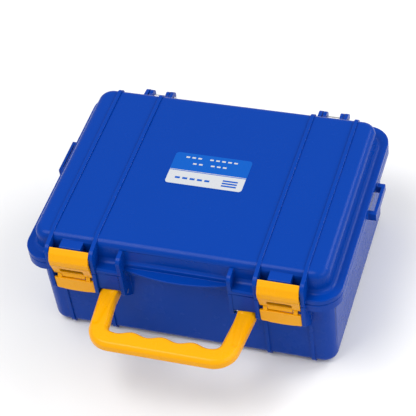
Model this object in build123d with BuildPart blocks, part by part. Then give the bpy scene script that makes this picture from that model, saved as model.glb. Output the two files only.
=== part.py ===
"""Insulation resistance tester built into a hard carrying case.

Millimetres. +X is to the user's right, -Y is the front with the handle and the latches, and +Z is
up. The origin is the middle of the underside, on the plane that the case stands on.
"""

import os
from math import radians, tan

from build123d import *

os.makedirs("parts", exist_ok=True)

# ---------------------------------------------------------------- driving dimensions: the case
case_width = 250.0          # rim flange, left to right
case_depth = 190.0          # rim flange, front to back
rim_corner = 19.0           # rim flange corner radius in plan
wall = 3.0                  # moulded wall thickness
ridge_height = 1.3          # how far the stiffening ridges stand proud
ridge_width = 3.0
parting_z = 85.5            # where lid and base meet
parting_gap = 0.6           # the line of shadow between them

base_width = 233.2          # base at its bottom
base_front_y = -82.1
base_back_y = 86.6
base_draft = 1.0            # degrees
base_corner = 11.0
base_edge = 8.0             # rounding along the bottom edges
collar_height = 7.0         # thick rim around the top of the base

crown_width = 233.4         # lid box above its flange
crown_front_y = -86.7
crown_back_y = 83.2
crown_draft = 2.0
crown_corner = 12.0
crown_edge = 6.0            # rounding around the top of the lid
crown_cove = 4.0            # hollow curve where the crown meets its flange
deck_z = 108.5              # flat top of the lid
flange_height = 4.2
centre_recess_y = -88.3     # rim face behind the finger lip
lip_reach = 8.4             # how far the finger lip stands out in the middle
lip_end_reach = 2.2
lip_thickness = 1.5

# ---------------------------------------------------------------- driving dimensions: the fittings
outer_rib_x = 99.5
inner_rib_x = 64.0
handle_rib_x = 43.4
rib_front_y = -98.8         # ribs beside the latches
handle_rib_front_y = -97.0
rib_foot_z = 63.8           # lower end of the straight rib fronts
rib_heel_z = 49.5           # where the ribs run out on the wall

hinge_y = 101.2
hinge_z = 86.4
hinge_pin_radius = 2.0
lid_ear_radius = 5.6
base_ear_radius = 5.4
hinge_outer_x = 85.4        # outer lid ear; the inner one lines up with the inner ridge
ear_width = 3.0
ear_gap = 0.6

latch_width = 31.6
latch_pivot_y = -92.3
latch_pivot_z = 81.6
latch_pin_radius = 1.1
latch_boss_y = -94.6        # block on the base that carries the pin between the cheeks
latch_boss_z = 79.0
hook_pivot_y = -95.6
hook_pivot_z = 76.8
hook_pin_radius = 0.9
hook_knuckle_radius = 1.8
knuckle_width = 18.6
cheek_width = 3.3
cheek_x = 11.55             # middle of a cheek, from the middle of the latch
cheek_radius = 2.2
lever_top_z = 75.0
lever_bottom_z = 61.2
lever_front_y = -98.5
lever_thickness = 2.4
hook_foot_z = 78.9
hook_top_drop = 3.5         # top of the hooks below the deck
hook_tip_y = -94.5
latch_slot = (19.4, 5.2)    # width and height of the window in the hook
latch_slot_z = 84.7
keeper_width = 17.1
keeper_front_y = -94.0
keeper_top_drop = 3.0       # top of the keepers below the deck

handle_pivot_y = -90.5
handle_thickness = 10.5
handle_top_z = 67.8
handle_outer_x = 62.0       # outer face of an arm at its root
arm_width = 14.1
arm_root_y = -98.0          # the arms taper in from here
arm_outer_taper = 0.092     # per millimetre of reach
arm_inner_taper = 0.122
grip_front_y = -148.6
grip_back_y = -130.8        # crests between the fingers
finger_pitch = 24.0
finger_depth = 3.3
finger_round = 11.0         # rounding of the crests and hollows
handle_corner = 19.0
handle_edge = 2.6
handle_pin_radius = 2.0
box_front_y = -96.7         # housings over the handle pivots
box_bottom_z = 68.5

lug_reach = 6.2             # shoulder strap loops beyond the rim
lug_length = 34.0
lug_y = 21.5
lug_bottom_z = 77.0
lug_top_z = 84.0
strap_slot = (4.6, 26.0)    # across and along the rim
lug_bar = 2.6

label_size = (62.7, 34.5)
label_y = 1.7
label_thickness = 0.3
label_seat = 0.3            # how deep the label is let into the lid

gasket_width = 242.4
gasket_depth = 178.4
gasket_mid_y = 2.0
gasket_corner = 12.0
gasket_band = 2.4
gasket_seat = 1.8           # depth of its groove

# ---------------------------------------------------------------- driving dimensions: the tester
panel_top_z = 76.0
panel_thickness = 2.5
panel_gap = 0.7             # all round, to the case wall
boss_radius = 4.5
panel_screw_radius = 1.5
screw_head = (3.0, 2.0)     # radius and height
key_count = 4
key_pitch = 20.0
key_size = (13.0, 8.0)
key_travel = 1.2
key_height = 3.0
key_y = -8.0
display_size = (92.0, 46.0)
display_y = 30.0
display_x = -42.0
knob_x = 58.0
knob_y = 24.0
knob_radius = 21.0
knob_height = 15.0
button_x = 58.0
button_y = -48.0
button_radius = 11.0
button_travel = 3.0
button_height = 7.0
socket_xs = (-90.0, -58.0, -26.0)
socket_y = -52.0
socket_radius = 9.0
plug_radius = 2.0           # four millimetre test plugs
socket_depth = 24.0
moving_gap = 0.35           # around buttons, keys and the knob
running_gap = 0.05          # radial, on pins and shafts

board_size = (176.0, 120.0)
board_thickness = 1.6
board_z = 47.0
spacer_radius = 3.0
spacer_x = 74.0
spacer_y = 56.0

cell_radius = 13.1          # C size cells
cell_length = 50.0
cell_gap = 0.4              # beside each cell
cells_across = 4
contact_space = 2.0         # at each end of a row
tray_wall = 2.0
cover_thickness = 3.0
cover_land = 7.5            # seat around the opening, in depth
cover_side_land = 4.0
cover_gap = 0.3
cover_screw_x = 45.0
cover_seat_z = 6.0

# ---------------------------------------------------------------- sizes worked out from them
rim_z = parting_z - parting_gap / 2           # top of the base
lid_z = parting_z + parting_gap / 2           # underside of the lid
floor_z = ridge_height + wall                 # inside of the base
deck_inner_z = deck_z - wall
collar_z = rim_z - collar_height
flange_top_z = lid_z + flange_height
ridge_top_z = deck_z + ridge_height
hook_top_z = deck_z - hook_top_drop
keeper_top_z = deck_z - keeper_top_drop
rib_shoulder_z = ridge_top_z - 4.4            # where the latch ribs round over into the ridges
handle_rib_top_z = ridge_top_z - 7.6
base_height = rim_z - ridge_height
base_depth = base_back_y - base_front_y
base_mid_y = (base_back_y + base_front_y) / 2
base_spread = base_height * tan(radians(base_draft))
crown_depth = crown_back_y - crown_front_y
crown_mid_y = (crown_back_y + crown_front_y) / 2
crown_height = deck_z - lid_z
crown_lean = crown_height * tan(radians(crown_draft))
panel_z = panel_top_z - panel_thickness
panel_spread = (panel_z - ridge_height) * tan(radians(base_draft))
panel_width = base_width + 2 * (panel_spread - wall - panel_gap)
panel_depth = base_depth + 2 * (panel_spread - wall - panel_gap)
latch_x = (outer_rib_x + inner_rib_x) / 2
rib_face = ridge_width / 2
rib_gap_low = inner_rib_x + rib_face          # latch bay, from rib face to rib face
rib_gap_high = outer_rib_x - rib_face
handle_bottom_z = handle_top_z - handle_thickness
handle_pivot_z = handle_top_z - handle_thickness / 2
handle_pivot_radius = handle_thickness / 2
hole_width = cells_across * (2 * cell_radius + cell_gap) + cell_gap
hole_depth = 2 * cell_length + 2 * contact_space
cover_width = hole_width + 2 * cover_side_land
cover_depth = hole_depth + 2 * cover_land
cover_screw_y = hole_depth / 2 + cover_land / 2
cell_z = cover_thickness + cell_gap + cell_radius
tray_top_z = cell_z + cell_radius + cell_gap + tray_wall
panel_screw_spots = [(x, y) for x in (-104.0, 0.0, 104.0) for y in (base_front_y + 9, base_back_y - 9)]


# ---------------------------------------------------------------- shared steps
def block(low, high, mode=Mode.ADD):
    """A box between two opposite corners."""
    with BuildSketch(Plane.XY.offset(low[2])) as section:
        with Locations(((low[0] + high[0]) / 2, (low[1] + high[1]) / 2)):
            Rectangle(high[0] - low[0], high[1] - low[1])
    extrude(section.sketch, amount=high[2] - low[2], mode=mode)


def round_block(size, middle, bottom, top, corner, taper=0.0, mode=Mode.ADD):
    """An upright block with rounded corners in plan."""
    with BuildSketch(Plane.XY.offset(bottom)) as section:
        with Locations(middle):
            RectangleRounded(size[0], size[1], corner)
    extrude(section.sketch, amount=top - bottom, taper=taper, mode=mode)


def upright(spot, radius, bottom, top, mode=Mode.ADD):
    """A round post standing along Z."""
    with BuildSketch(Plane.XY.offset(bottom)) as section:
        with Locations(spot):
            Circle(radius)
    extrude(section.sketch, amount=top - bottom, mode=mode)


def bar(x_low, x_high, y, z, radius, mode=Mode.ADD):
    """A round bar lying along X."""
    with BuildSketch(Plane.YZ.offset(x_low)) as section:
        with Locations((y, z)):
            Circle(radius)
    extrude(section.sketch, amount=x_high - x_low, mode=mode)


def plate(x, thickness, outline, rounds=(), mode=Mode.ADD):
    """A flat plate standing across X, drawn as depth and height, with some corners rounded."""
    with BuildSketch(Plane.YZ.offset(x)) as section:
        with BuildLine():
            Polyline(*outline, close=True)
        make_face()
        for y, z, radius in rounds:
            fillet(section.vertices().sort_by_distance((y, z, 0))[0], radius)
    extrude(section.sketch, amount=thickness / 2, both=True, mode=mode)


def keep(piece, name):
    """Name a finished piece and write it out."""
    piece.part.label = name
    export_step(piece.part, f"parts/{name}.step")


# ---------------------------------------------------------------- the base of the case
ridge_front_y = base_front_y - ridge_height
ridge_back_y = base_back_y + ridge_height
ridge_round = base_edge + ridge_height

with BuildPart() as base_shell:
    round_block((base_width, base_depth), (0, base_mid_y), ridge_height, rim_z, base_corner, -base_draft)
    fillet(base_shell.edges().group_by(Axis.Z)[0], base_edge)
    with BuildSketch(Plane.XY.offset(collar_z)) as collar:
        RectangleRounded(case_width, case_depth, rim_corner)
    extrude(collar.sketch, amount=collar_height)
    fillet(base_shell.faces().sort_by(Axis.Z)[-1].outer_wire().edges(), 0.8)

    # ridges run down the front, under the belly as runners and up the back
    heel_y = base_front_y - (rib_heel_z - ridge_height) * tan(radians(base_draft))
    for side in (-1, 1):
        for rib_x in (inner_rib_x, outer_rib_x):
            plate(
                side * rib_x,
                ridge_width,
                [
                    (rib_front_y, rim_z),
                    (rib_front_y, rib_foot_z),
                    (heel_y - ridge_height, rib_heel_z),
                    (ridge_front_y, 0),
                    (ridge_back_y, 0),
                    (ridge_back_y + base_spread, rim_z - collar_height / 2),
                    (ridge_back_y + base_spread - wall, rim_z),
                ],
                [
                    (rib_front_y, rib_foot_z, 3.0),
                    (ridge_front_y, 0, ridge_round),
                    (ridge_back_y, 0, ridge_round),
                ],
            )
        plate(
            side * handle_rib_x,
            ridge_width,
            [
                (handle_rib_front_y, rim_z),
                (handle_rib_front_y, rib_foot_z),
                (heel_y, rib_heel_z),
                (base_front_y + wall, rib_heel_z),
                (base_front_y + wall, rim_z),
            ],
            [(handle_rib_front_y, rib_foot_z, 3.0)],
        )
        # housing over the handle pivot, open below
        middle_x = side * (handle_rib_x + inner_rib_x) / 2
        half = (inner_rib_x - handle_rib_x) / 2
        block((middle_x - half, box_front_y, box_bottom_z), (middle_x + half, base_front_y, rim_z))
        # hinge ears, just inside the ears of the lid
        for ear_x in (inner_rib_x + ear_width + ear_gap, hinge_outer_x - ear_width - ear_gap):
            plate(
                side * ear_x,
                ear_width,
                [
                    (base_back_y - wall, 60.0),
                    (base_back_y + 3, 60.0),
                    (hinge_y + base_ear_radius, hinge_z),
                    (hinge_y - base_ear_radius, hinge_z),
                    (hinge_y - base_ear_radius, rim_z),
                    (base_back_y - wall, rim_z),
                ],
            )
            bar(
                side * ear_x - ear_width / 2,
                side * ear_x + ear_width / 2,
                hinge_y,
                hinge_z,
                base_ear_radius,
            )
        # loop for a shoulder strap
        lug_edge = case_width / 2 + lug_reach
        lug_low = min(side * lug_edge, side * (case_width / 2 - 4))
        block(
            (lug_low, lug_y - lug_length / 2, lug_bottom_z),
            (lug_low + lug_reach + 4, lug_y + lug_length / 2, lug_top_z),
        )
        slot_edge = side * (lug_edge - lug_bar)
        slot_low = min(slot_edge, slot_edge - side * strap_slot[0])
        block(
            (slot_low, lug_y - strap_slot[1] / 2, lug_bottom_z - 1),
            (slot_low + strap_slot[0], lug_y + strap_slot[1] / 2, rim_z + 1),
            mode=Mode.SUBTRACT,
        )

    # the rim steps back behind the finger lip
    block(
        (-handle_rib_x + rib_face, -case_depth, collar_z - 1),
        (handle_rib_x - rib_face, centre_recess_y, rim_z + 1),
        mode=Mode.SUBTRACT,
    )
    for side in (-1, 1):
        # hollow of the pivot housing
        low_x = min(side * (handle_rib_x + rib_face), side * (inner_rib_x - rib_face))
        wide = inner_rib_x - handle_rib_x - 2 * rib_face
        block(
            (low_x, box_front_y + 2.4, box_bottom_z - 1),
            (low_x + wide, base_front_y - 2.6, rim_z - wall),
            mode=Mode.SUBTRACT,
        )
        # latch bay, with two deeper slots for the cheeks of the lever
        bay_low = min(side * rib_gap_low, side * rib_gap_high)
        bay_wide = rib_gap_high - rib_gap_low
        block(
            (bay_low, -case_depth, collar_z - 1),
            (bay_low + bay_wide, latch_boss_y, rim_z + 1),
            mode=Mode.SUBTRACT,
        )
        block(
            (bay_low, latch_boss_y - 1, collar_z - 1),
            (bay_low + bay_wide, base_front_y - base_spread - 0.5, latch_boss_z),
            mode=Mode.SUBTRACT,
        )
        for end in (-1, 1):
            slot_x = side * latch_x + end * cheek_x
            block(
                (slot_x - cheek_width / 2 - 0.5, -case_depth, collar_z - 1),
                (slot_x + cheek_width / 2 + 0.5, latch_pivot_y + cheek_radius + 0.6, rim_z + 1),
                mode=Mode.SUBTRACT,
            )

    # inside of the base, and the posts that carry the front panel
    round_block(
        (base_width - 2 * wall, base_depth - 2 * wall),
        (0, base_mid_y),
        floor_z,
        rim_z + 1,
        base_corner - wall,
        -base_draft,
        mode=Mode.SUBTRACT,
    )
    fillet(base_shell.edges().filter_by_position(Axis.Z, floor_z - 0.01, floor_z + 0.01), base_edge - wall)
    for spot in panel_screw_spots:
        upright(spot, boss_radius, floor_z, panel_z)
        upright(spot, panel_screw_radius, panel_z - 12, panel_z, mode=Mode.SUBTRACT)
    # battery hatch: a raised seat with a stepped opening
    seat_size = (cover_width + 6, cover_depth + 6)
    round_block(seat_size, (0, 0), 0, cover_seat_z, 5)
    round_block((cover_width + 2 * cover_gap, cover_depth + 2 * cover_gap), (0, 0), 0, cover_thickness,
                3, mode=Mode.SUBTRACT)
    block(
        (-hole_width / 2, -hole_depth / 2, 0),
        (hole_width / 2, hole_depth / 2, cover_seat_z),
        mode=Mode.SUBTRACT,
    )
    for x in (-cover_screw_x, cover_screw_x):
        for y in (-cover_screw_y, cover_screw_y):
            upright((x, y), 1.25, 0, cover_seat_z, mode=Mode.SUBTRACT)

    # bores for the pins of the hinges, the latches and the handle
    for side in (-1, 1):
        hinge_low = min(side * (inner_rib_x - 4), side * (hinge_outer_x + 4))
        bar(hinge_low, hinge_low + hinge_outer_x - inner_rib_x + 8, hinge_y, hinge_z,
            hinge_pin_radius, mode=Mode.SUBTRACT)
        latch_low = side * latch_x - latch_x + inner_rib_x - 3
        bar(latch_low, latch_low + outer_rib_x - inner_rib_x + 6, latch_pivot_y, latch_pivot_z,
            latch_pin_radius, mode=Mode.SUBTRACT)
        handle_low = min(side * (handle_rib_x - 3), side * (inner_rib_x + 3))
        bar(handle_low, handle_low + inner_rib_x - handle_rib_x + 6, handle_pivot_y,
            handle_pivot_z, handle_pin_radius, mode=Mode.SUBTRACT)
keep(base_shell, "base_shell")


# ---------------------------------------------------------------- the lid
crown_top_y = crown_back_y - crown_lean
deck_back_y = crown_top_y + ridge_height

with BuildPart() as lid_shell:
    with BuildSketch(Plane.XY.offset(lid_z)) as flange:
        RectangleRounded(case_width, case_depth, rim_corner)
    extrude(flange.sketch, amount=flange_height)
    fillet(lid_shell.faces().sort_by(Axis.Z)[-1].outer_wire().edges(), 0.8)
    round_block((crown_width, crown_depth), (0, crown_mid_y), lid_z, deck_z, crown_corner, crown_draft)
    fillet(lid_shell.faces().sort_by(Axis.Z)[-1].outer_wire().edges(), crown_edge)
    # hollow curve at the foot of the crown
    foot = lid_shell.edges().filter_by_position(Axis.Z, flange_top_z - 0.01, flange_top_z + 0.01)
    fillet(foot.filter_by(lambda edge: abs(edge.center().X) < crown_width / 2 + 1
                          and crown_front_y - 1 < edge.center().Y < crown_back_y + 1), crown_cove)
    # the rim steps back behind the finger lip
    block(
        (-handle_rib_x + rib_face, -case_depth, lid_z - 1),
        (handle_rib_x - rib_face, centre_recess_y, flange_top_z + crown_cove),
        mode=Mode.SUBTRACT,
    )
    # finger lip, a shallow crescent in plan
    with BuildSketch(Plane.XY.offset(lid_z)) as crescent:
        with BuildLine():
            ThreePointArc(
                (-handle_rib_x, centre_recess_y - lip_end_reach + 0.6),
                (0, centre_recess_y - lip_reach),
                (handle_rib_x, centre_recess_y - lip_end_reach + 0.6),
            )
            Polyline(
                (handle_rib_x, centre_recess_y - lip_end_reach + 0.6),
                (handle_rib_x, crown_front_y),
                (-handle_rib_x, crown_front_y),
                (-handle_rib_x, centre_recess_y - lip_end_reach + 0.6),
            )
        make_face()
    extrude(crescent.sketch, amount=lip_thickness)

    for side in (-1, 1):
        # ridges over the top and down the back, with the latch ribs at their front ends
        for rib_x in (inner_rib_x, outer_rib_x):
            plate(
                side * rib_x,
                ridge_width,
                [
                    (rib_front_y, lid_z),
                    (rib_front_y, rib_shoulder_z),
                    (crown_front_y + 8.7, ridge_top_z),
                    (deck_back_y, ridge_top_z),
                    (crown_back_y + ridge_height, flange_top_z),
                    (crown_back_y + ridge_height, lid_z),
                ],
                [(rib_front_y, rib_shoulder_z, 7.0), (deck_back_y, ridge_top_z, crown_edge + ridge_height)],
            )
        plate(
            side * handle_rib_x,
            ridge_width,
            [
                (handle_rib_front_y, lid_z),
                (handle_rib_front_y, handle_rib_top_z),
                (crown_front_y + 2.2, handle_rib_top_z + 1.0),
                (crown_front_y + 2.2, lid_z),
            ],
            [(handle_rib_front_y, handle_rib_top_z, 5.0)],
        )
        # rim bump over the handle pivot
        plate(
            side * (handle_rib_x + inner_rib_x) / 2,
            inner_rib_x - handle_rib_x,
            [
                (handle_rib_front_y, lid_z),
                (handle_rib_front_y, flange_top_z - 1.5),
                (handle_rib_front_y + 1.5, flange_top_z),
                (crown_front_y, flange_top_z),
                (crown_front_y, lid_z),
            ],
        )
        # keeper that the latch hooks onto
        plate(
            side * latch_x,
            keeper_width,
            [
                (keeper_front_y, lid_z),
                (keeper_front_y, keeper_top_z),
                (crown_front_y + 2.2, keeper_top_z),
                (crown_front_y + 2.2, lid_z),
            ],
            [(keeper_front_y, keeper_top_z, 1.2)],
        )
        # hinge ears
        for ear_x in (inner_rib_x, hinge_outer_x):
            plate(
                side * ear_x,
                ear_width,
                [
                    (crown_back_y, lid_z + 0.4),
                    (hinge_y, lid_z + 0.4),
                    (hinge_y, hinge_z + lid_ear_radius),
                    (case_depth / 2, flange_top_z + 3.0),
                    (crown_back_y, flange_top_z + 3.0),
                ],
            )
            bar(
                side * ear_x - ear_width / 2,
                side * ear_x + ear_width / 2,
                hinge_y,
                hinge_z,
                lid_ear_radius,
            )
        hinge_low = min(side * (inner_rib_x - 4), side * (hinge_outer_x + 4))
        bar(hinge_low, hinge_low + hinge_outer_x - inner_rib_x + 8, hinge_y, hinge_z,
            hinge_pin_radius + running_gap, mode=Mode.SUBTRACT)

    # inside of the lid, bevelled under the deck, and the groove for its gasket
    inner_size = (crown_width - 2 * wall, crown_depth - 2 * wall)
    bevel_z = deck_inner_z - (crown_edge - wall)
    lean = (bevel_z - lid_z) * tan(radians(crown_draft))
    round_block(inner_size, (0, crown_mid_y), lid_z, bevel_z, crown_corner - wall, crown_draft,
                mode=Mode.SUBTRACT)
    round_block((inner_size[0] - 2 * lean, inner_size[1] - 2 * lean), (0, crown_mid_y), bevel_z,
                deck_inner_z, crown_corner - wall - lean, 45, mode=Mode.SUBTRACT)
    with BuildSketch(Plane.XY.offset(lid_z)) as groove:
        with Locations((0, gasket_mid_y)):
            RectangleRounded(gasket_width, gasket_depth, gasket_corner)
            RectangleRounded(gasket_width - 2 * gasket_band, gasket_depth - 2 * gasket_band,
                             gasket_corner - gasket_band, mode=Mode.SUBTRACT)
    extrude(groove.sketch, amount=gasket_seat, mode=Mode.SUBTRACT)
    # shallow seat for the name label
    round_block(label_size, (0, label_y), deck_z - label_seat, deck_z + 1, 3.0, mode=Mode.SUBTRACT)
keep(lid_shell, "lid_shell")

with BuildPart() as lid_gasket:
    with BuildSketch(Plane.XY.offset(parting_z)) as ring:
        with Locations((0, gasket_mid_y)):
            RectangleRounded(gasket_width, gasket_depth, gasket_corner)
            RectangleRounded(gasket_width - 2 * gasket_band, gasket_depth - 2 * gasket_band,
                             gasket_corner - gasket_band, mode=Mode.SUBTRACT)
    extrude(ring.sketch, amount=lid_z + gasket_seat - parting_z)
keep(lid_gasket, "lid_gasket")

with BuildPart() as name_label:
    round_block(label_size, (0, label_y), deck_z - label_seat, deck_z + label_thickness, 3.0)
keep(name_label, "name_label")

with BuildPart() as hinge_pins:
    for side in (-1, 1):
        low = min(side * (inner_rib_x - 2.1), side * (hinge_outer_x + 2.1))
        bar(low, low + hinge_outer_x - inner_rib_x + 4.2, hinge_y, hinge_z, hinge_pin_radius)
keep(hinge_pins, "hinge_pins")

# ---------------------------------------------------------------- the latches
def build_lever(side):
    """Draw the lever of one latch into the open part."""
    middle = side * latch_x
    plate(
        middle,
        latch_width,
        [
            (lever_front_y, lever_top_z),
            (lever_front_y + 1.2, lever_bottom_z - 1),
            (lever_front_y + 1.2 + lever_thickness, lever_bottom_z - 1),
            (lever_front_y + lever_thickness, lever_top_z - 0.6),
        ],
    )
    for end in (-1, 1):
        plate(
            middle + end * cheek_x,
            cheek_width,
            [
                (latch_pivot_y - cheek_radius, latch_pivot_z),
                (latch_pivot_y - cheek_radius, hook_pivot_z + 1.0),
                (hook_pivot_y - hook_knuckle_radius, hook_pivot_z),
                (lever_front_y + 0.6, lever_top_z - 0.6),
                (lever_front_y + 0.6, 71.0),
                (lever_front_y + lever_thickness + 1.0, 71.0),
                (latch_pivot_y - 1.4, hook_pivot_z - 1.0),
                (latch_pivot_y + cheek_radius, latch_pivot_z),
            ],
        )
        x_low = middle + end * cheek_x - cheek_width / 2
        bar(x_low, x_low + cheek_width, latch_pivot_y, latch_pivot_z, cheek_radius)
        bar(x_low, x_low + cheek_width, hook_pivot_y, hook_pivot_z, hook_knuckle_radius - 0.1)
    # front view of the lever, with its gently curved lower edge
    with BuildSketch(Plane.XZ.offset(-latch_pivot_y - 6)) as front:
        with BuildLine():
            Polyline(
                (middle - latch_width / 2, lever_bottom_z + 1.2),
                (middle - latch_width / 2, rim_z),
                (middle + latch_width / 2, rim_z),
                (middle + latch_width / 2, lever_bottom_z + 1.2),
            )
            ThreePointArc(
                (middle + latch_width / 2, lever_bottom_z + 1.2),
                (middle, lever_bottom_z),
                (middle - latch_width / 2, lever_bottom_z + 1.2),
            )
        make_face()
        fillet(front.vertices().group_by(Axis.Y)[0], 1.6)
    extrude(front.sketch, amount=20, both=True, mode=Mode.INTERSECT)
    bar(middle - latch_width, middle + latch_width, latch_pivot_y, latch_pivot_z,
        latch_pin_radius + running_gap, mode=Mode.SUBTRACT)
    bar(middle - latch_width, middle + latch_width, hook_pivot_y, hook_pivot_z,
        hook_pin_radius, mode=Mode.SUBTRACT)


def build_hook(side):
    """Draw the hook of one latch into the open part."""
    middle = side * latch_x
    plate(
        middle,
        latch_width,
        [
            (-97.15, hook_foot_z),
            (-97.5, 80.0),
            (-101.2, 91.5),
            (-101.5, hook_top_z - 8.5),
            (-99.0, hook_top_z - 3.2),
            (-95.5, hook_top_z + 0.2),
            (hook_tip_y, hook_top_z - 0.2),
            (hook_tip_y, hook_top_z - 1.4),
            (-97.2, hook_top_z - 4.1),
            (-99.1, hook_top_z - 8.8),
            (-98.8, 91.8),
            (-95.4, 81.0),
            (-95.15, hook_foot_z),
        ],
        [(-101.2, 91.5, 6.0), (-101.5, hook_top_z - 8.5, 4.0), (-99.0, hook_top_z - 3.2, 4.0),
         (-98.8, 91.8, 4.0)],
    )
    plate(
        middle,
        knuckle_width,
        [
            (hook_pivot_y - hook_knuckle_radius, hook_pivot_z),
            (-97.3, hook_foot_z + 0.4),
            (-95.1, hook_foot_z + 0.4),
            (-94.95, hook_foot_z - 0.2),
            (hook_pivot_y + 1.0, hook_pivot_z),
        ],
    )
    bar(middle - knuckle_width / 2, middle + knuckle_width / 2, hook_pivot_y, hook_pivot_z,
        hook_knuckle_radius)
    bar(middle - latch_width, middle + latch_width, hook_pivot_y, hook_pivot_z,
        hook_pin_radius + running_gap, mode=Mode.SUBTRACT)
    with BuildSketch(Plane.XZ.offset(-latch_pivot_y)) as window:
        with Locations((middle, latch_slot_z)):
            RectangleRounded(latch_slot[0], latch_slot[1], 1.0)
    extrude(window.sketch, amount=20, mode=Mode.SUBTRACT)


def build_hook_pin(side):
    """Draw the pin between lever and hook."""
    half = cheek_x + cheek_width / 2
    bar(side * latch_x - half, side * latch_x + half, hook_pivot_y, hook_pivot_z, hook_pin_radius)


with BuildPart() as latch_lever_left:
    build_lever(-1)
keep(latch_lever_left, "latch_lever_left")

with BuildPart() as latch_lever_right:
    build_lever(1)
keep(latch_lever_right, "latch_lever_right")

with BuildPart() as latch_hook_left:
    build_hook(-1)
keep(latch_hook_left, "latch_hook_left")

with BuildPart() as latch_hook_right:
    build_hook(1)
keep(latch_hook_right, "latch_hook_right")

with BuildPart() as hook_pin_left:
    build_hook_pin(-1)
keep(hook_pin_left, "hook_pin_left")

with BuildPart() as hook_pin_right:
    build_hook_pin(1)
keep(hook_pin_right, "hook_pin_right")

with BuildPart() as latch_pins:
    for side in (-1, 1):
        low = side * latch_x - latch_x + inner_rib_x - rib_face
        bar(low, low + outer_rib_x - inner_rib_x + ridge_width, latch_pivot_y, latch_pivot_z,
            latch_pin_radius)
keep(latch_pins, "latch_pins")

# ---------------------------------------------------------------- the carrying handle
inner_end_x = handle_outer_x - arm_width - arm_inner_taper * (arm_root_y - grip_back_y)
outer_end_x = handle_outer_x - arm_outer_taper * (arm_root_y - grip_front_y)
# corners of the scalloped inner edge, before they are rounded
crest_y = grip_back_y + finger_round / 25
trough_y = grip_back_y - finger_depth - finger_round / 25
scallops = [
    (x * finger_pitch / 2, trough_y if x % 2 else crest_y) for x in (2, 1, 0, -1, -2)
]

with BuildPart() as handle:
    with BuildSketch(Plane.XY.offset(handle_bottom_z)) as plan:
        with BuildLine():
            Polyline(
                (handle_outer_x - arm_width, handle_pivot_y),
                (handle_outer_x - arm_width, arm_root_y),
                (inner_end_x, grip_back_y - 2.0),
                (1.5 * finger_pitch - 1, trough_y),
                *scallops,
                (-1.5 * finger_pitch + 1, trough_y),
                (-inner_end_x, grip_back_y - 2.0),
                (-handle_outer_x + arm_width, arm_root_y),
                (-handle_outer_x + arm_width, handle_pivot_y),
                (-handle_outer_x, handle_pivot_y),
                (-handle_outer_x, arm_root_y),
                (-outer_end_x, grip_front_y),
                (outer_end_x, grip_front_y),
                (handle_outer_x, arm_root_y),
                (handle_outer_x, handle_pivot_y),
                close=True,
            )
        make_face()
        corners = plan.vertices()
        waves = [v for v in corners if grip_back_y - 6 < v.Y < grip_back_y + 2 and abs(v.X) < 40]
        fillet([v for v in corners if v.Y < grip_front_y + 1], handle_corner)
        fillet([v for v in plan.vertices() if abs(v.Y - grip_back_y + 2) < 0.1 and abs(v.X) > 40], 5.0)
        fillet(
            [v for v in plan.vertices() if any(abs(v.X - w.X) + abs(v.Y - w.Y) < 0.1 for w in waves)],
            finger_round,
        )
    extrude(plan.sketch, amount=handle_thickness)
    grip_faces = handle.faces().filter_by(Axis.Z)
    chamfer(grip_faces.edges().filter_by_position(Axis.Y, -200, arm_root_y + 0.01), handle_edge)
    for side in (-1, 1):
        arm_low = min(side * handle_outer_x, side * (handle_outer_x - arm_width))
        # round the root of the arm about its pivot
        block((arm_low - 1, handle_pivot_y - 0.5, handle_bottom_z - 1),
              (arm_low + arm_width + 1, handle_pivot_y + 8, handle_top_z + 1), mode=Mode.SUBTRACT)
        bar(arm_low, arm_low + arm_width, handle_pivot_y, handle_pivot_z, handle_pivot_radius)
        bar(arm_low - 1, arm_low + arm_width + 1, handle_pivot_y, handle_pivot_z,
            handle_pin_radius + running_gap, mode=Mode.SUBTRACT)
        # shallow channel along the top of the arm
        with BuildSketch(Plane.XY.offset(handle_top_z - 0.8)) as channel:
            with Locations((side * 53.2, -114.0)):
                SlotOverall(33.0, 4.6, rotation=90 + side * 6.1)
        extrude(channel.sketch, amount=2, mode=Mode.SUBTRACT)
keep(handle, "handle")

with BuildPart() as handle_pins:
    for side in (-1, 1):
        low = min(side * (handle_rib_x - rib_face), side * (inner_rib_x + rib_face))
        bar(low, low + inner_rib_x - handle_rib_x + ridge_width, handle_pivot_y, handle_pivot_z,
            handle_pin_radius)
keep(handle_pins, "handle_pins")

# ---------------------------------------------------------------- front panel and what is set in it
key_xs = [display_x + (i - (key_count - 1) / 2) * key_pitch for i in range(key_count)]
key_flange = 1.4
window_seat = 1.5
bushing_radius = 5.0
shaft_radius = 3.0
socket_body_radius = 6.2

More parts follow.
